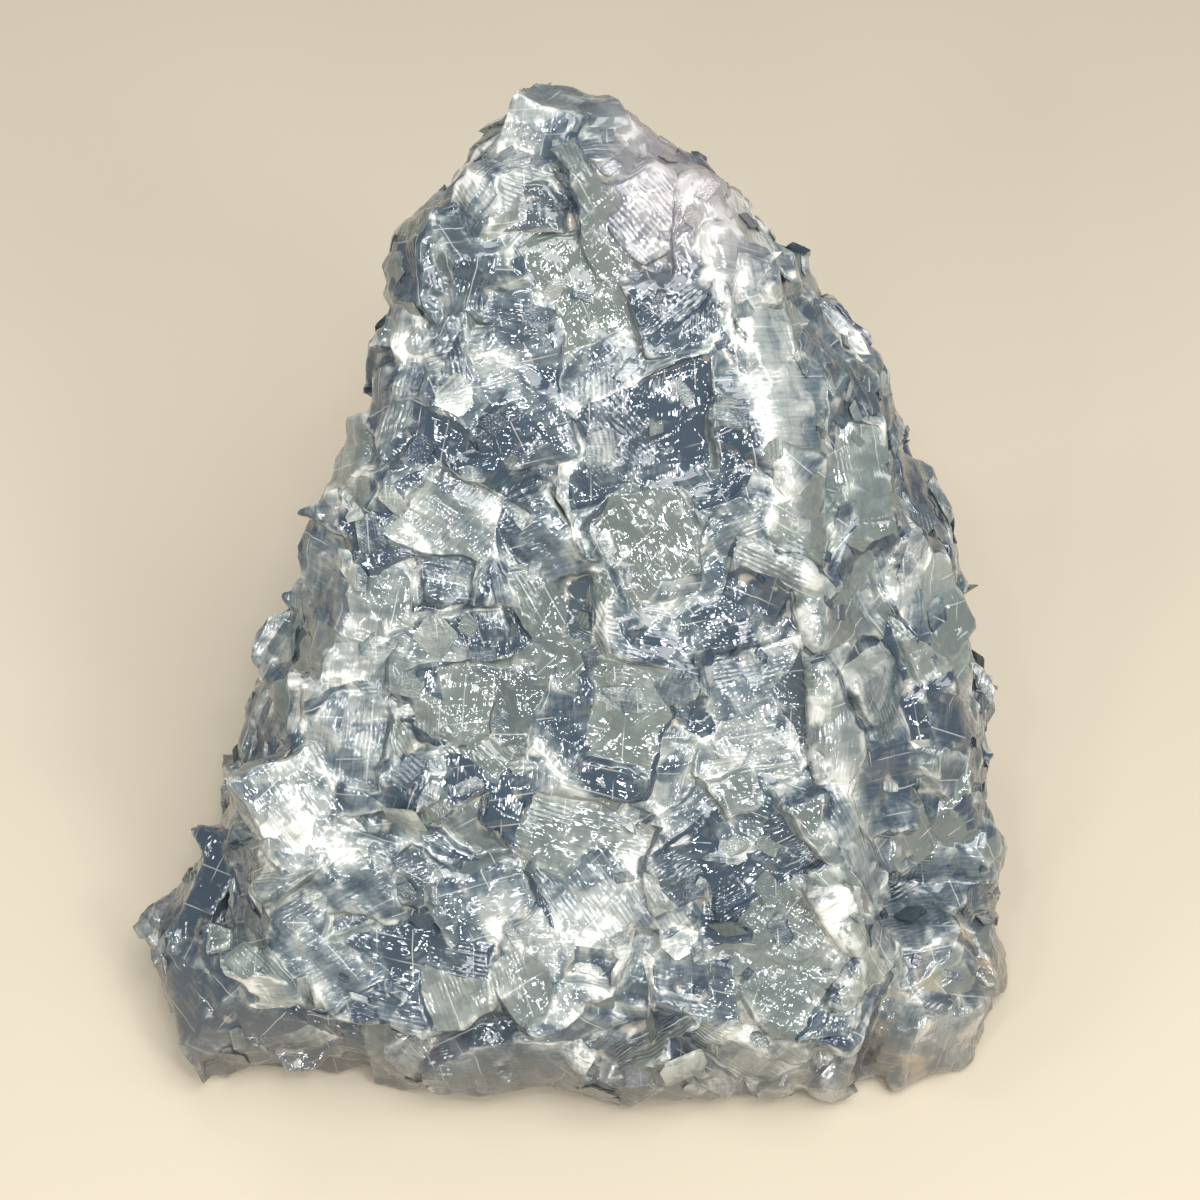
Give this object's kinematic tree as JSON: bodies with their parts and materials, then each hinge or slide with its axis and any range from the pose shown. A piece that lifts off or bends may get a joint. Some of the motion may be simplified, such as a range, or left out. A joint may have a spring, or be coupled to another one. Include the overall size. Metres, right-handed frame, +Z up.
{
  "type": "rough blue calcite",
  "caption": "Rough blue calcite, a free-standing peaked lump of interlocked crystals with flat cleavage faces and a flat base.",
  "frame": {"origin": "on the surface that the stone rests on, under the middle of its bounding box", "axes": "+Z up; -Y is the broad sloping front face; +X is to the viewer's right and is the longest side"},
  "size_m": [0.18, 0.1536, 0.1609],
  "materials": {
    "calcite": "glossy, translucent blue-grey calcite with milky veils and navy clear patches"
  },
  "bodies": {
    "root": {"blue_calcite": "calcite"}
  },
  "joints": []
}
